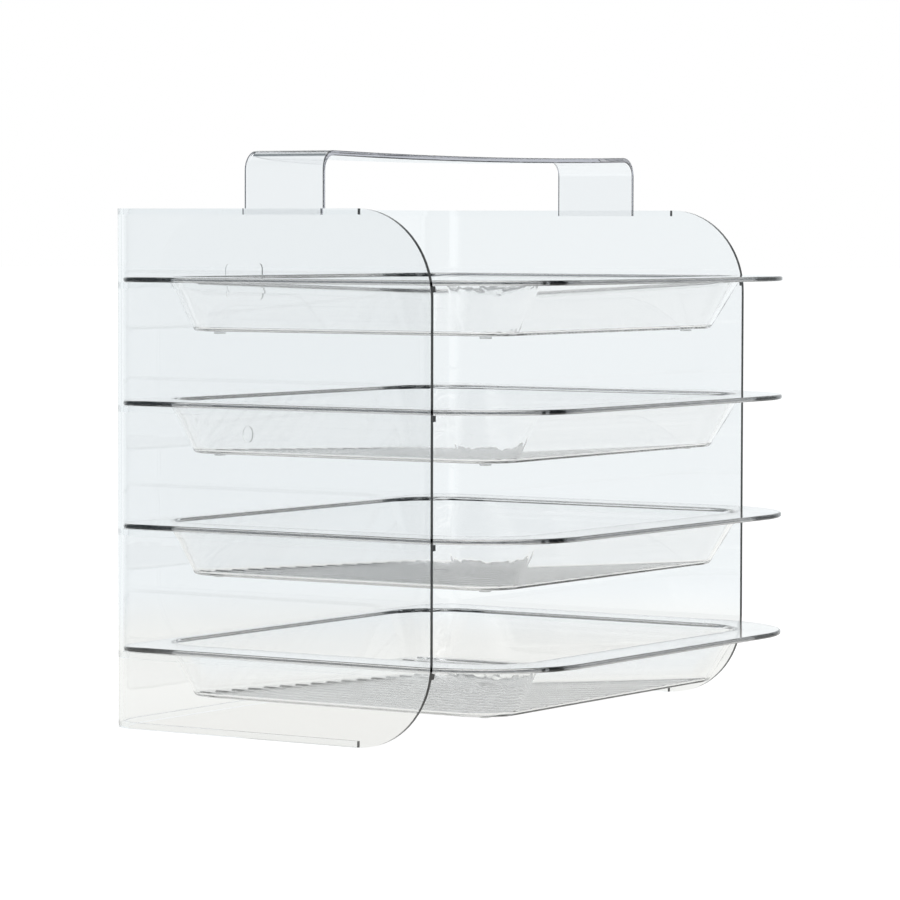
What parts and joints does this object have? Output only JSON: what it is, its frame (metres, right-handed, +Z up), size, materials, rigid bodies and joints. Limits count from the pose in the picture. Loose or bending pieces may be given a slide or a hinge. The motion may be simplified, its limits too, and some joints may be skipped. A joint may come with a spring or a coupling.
{
  "type": "letter tray",
  "caption": "Clear letter tray: a U-shaped housing with a strap handle holds shallow pull-out paper trays on moulded ledges.",
  "frame": {"origin": "on the standing surface, midway across the width and midway from the trays' front edge to the housing's back face", "axes": "+Z up, +X across the width, the open front faces -Y"},
  "size_m": [0.408, 0.329, 0.388],
  "materials": {
    "clear_shell": "polished clear",
    "clear_handle": "polished clear",
    "clear_tray": "polished clear",
    "clear_foot": "soft clear"
  },
  "bodies": {
    "housing": {"housing_shell": "clear_shell", "carry_handle": "clear_handle"},
    "tray_body_1": {"tray_1": "clear_tray", "tray_1_foot_front_left": "clear_foot", "tray_1_foot_front_right": "clear_foot", "tray_1_foot_rear_left": "clear_foot", "tray_1_foot_rear_right": "clear_foot"},
    "tray_body_2": {"tray_2": "clear_tray", "tray_2_foot_front_left": "clear_foot", "tray_2_foot_front_right": "clear_foot", "tray_2_foot_rear_left": "clear_foot", "tray_2_foot_rear_right": "clear_foot"},
    "tray_body_3": {"tray_3": "clear_tray", "tray_3_foot_front_left": "clear_foot", "tray_3_foot_front_right": "clear_foot", "tray_3_foot_rear_left": "clear_foot", "tray_3_foot_rear_right": "clear_foot"},
    "tray_body_4": {"tray_4": "clear_tray", "tray_4_foot_front_left": "clear_foot", "tray_4_foot_front_right": "clear_foot", "tray_4_foot_rear_left": "clear_foot", "tray_4_foot_rear_right": "clear_foot"}
  },
  "joints": [
    {"name": "tray_1_slide", "type": "slide", "parent": "housing", "child": "tray_body_1", "axis": [0, -1, 0], "range_m": [0, 0.262]},
    {"name": "tray_2_slide", "type": "slide", "parent": "housing", "child": "tray_body_2", "axis": [0, -1, 0], "range_m": [0, 0.262]},
    {"name": "tray_3_slide", "type": "slide", "parent": "housing", "child": "tray_body_3", "axis": [0, -1, 0], "range_m": [0, 0.262]},
    {"name": "tray_4_slide", "type": "slide", "parent": "housing", "child": "tray_body_4", "axis": [0, -1, 0], "range_m": [0, 0.262]}
  ]
}
